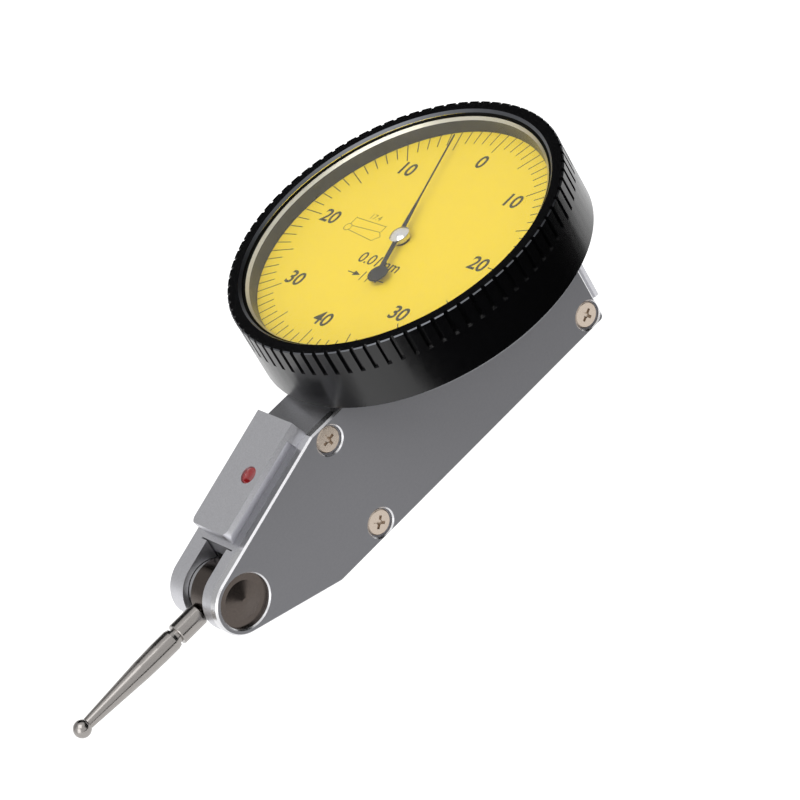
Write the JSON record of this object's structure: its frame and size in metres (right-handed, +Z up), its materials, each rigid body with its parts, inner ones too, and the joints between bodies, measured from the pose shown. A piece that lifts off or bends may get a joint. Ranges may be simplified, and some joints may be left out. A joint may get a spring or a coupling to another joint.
{
  "type": "dial test indicator",
  "caption": "Horizontal lever-type dial test indicator: flat body with dovetail rails, swivelling ball-tipped contact point, gear train and turning ribbed bezel with a balanced dial.",
  "frame": {"origin": "the point of the body's flat underside below the dial's axis", "axes": "+X to the rear of the body along the contact point's line, +Y to the side without a cover, +Z up through the dial"},
  "size_m": [0.0796, 0.039, 0.0253],
  "materials": {
    "satin_chrome": "satin",
    "grey_cover": "matt",
    "screw_nickel": "polished",
    "red_lacquer": "gloss",
    "black_bezel": "gloss",
    "yellow_dial": "matt",
    "spacer_black": "satin",
    "crystal": "clear",
    "pointer_black": "satin",
    "hub_chrome": "polished",
    "brass_works": "satin",
    "steel_works": "satin",
    "spring_steel": "blued",
    "dark_steel": "blackened, polished",
    "polished_steel": "polished",
    "ring_rubber": "matt",
    "base_alloy": "turned"
  },
  "bodies": {
    "case": {"frame": "satin_chrome", "side_cover": "grey_cover", "cover_screws": "screw_nickel", "red_mark": "red_lacquer", "pivot_bearings": "dark_steel", "arbor_bushes": "brass_works", "pinion_bracket": "brass_works", "bracket_screw": "steel_works", "dial_base": "base_alloy", "base_screws": "steel_works", "o_ring": "ring_rubber", "retaining_ring": "steel_works", "centre_bridge": "brass_works", "bridge_screws": "steel_works", "hairspring": "spring_steel", "hairspring_stud": "brass_works"},
    "bezel_group": {"bezel": "black_bezel", "dial_plate": "yellow_dial", "spacer_ring": "spacer_black", "crystal": "crystal"},
    "pointer_group": {"pointer": "pointer_black", "pointer_hub": "hub_chrome", "centre_arbor": "steel_works", "collet": "brass_works"},
    "crown_group": {"crown_arbor": "steel_works", "crown_gear": "brass_works"},
    "lever_group": {"lever": "steel_works", "sector_gear": "brass_works", "sector_rivets": "steel_works", "pivot_shaft": "steel_works", "clutch_washer": "steel_works"},
    "contact_point": {"stylus_drum": "dark_steel", "stylus": "polished_steel", "stylus_ball": "polished_steel"}
  },
  "joints": [
    {"name": "bezel_turn", "type": "hinge", "parent": "case", "child": "bezel_group", "pos_m": [0, 0, 0.0212], "axis": [0, 0, 1], "continuous": true},
    {"name": "pointer_turn", "type": "hinge", "parent": "case", "child": "pointer_group", "pos_m": [0, 0, 0.0212], "axis": [0, 0, -1], "range_deg": [0, 395], "stiffness_Nm_per_rad": 0.0000026, "springref_deg": -441.18},
    {"name": "crown_turn", "type": "hinge", "parent": "case", "child": "crown_group", "pos_m": [0, 0, 0.00707], "axis": [0, -1, 0], "range_deg": [0, 74.07]},
    {"name": "lever_swing", "type": "hinge", "parent": "case", "child": "lever_group", "pos_m": [-0.0382, 0, 0.00707], "axis": [0, 1, 0], "range_deg": [0, 2.4]},
    {"name": "contact_swivel", "type": "hinge", "parent": "lever_group", "child": "contact_point", "pos_m": [-0.0382, 0, 0.00707], "axis": [0, 1, 0], "range_deg": [-120, 98]}
  ],
  "couplings": [
    {"joint": "crown_turn", "follows": "pointer_turn", "ratio": 0.1875},
    {"joint": "lever_swing", "follows": "pointer_turn", "ratio": 0.0060811}
  ]
}
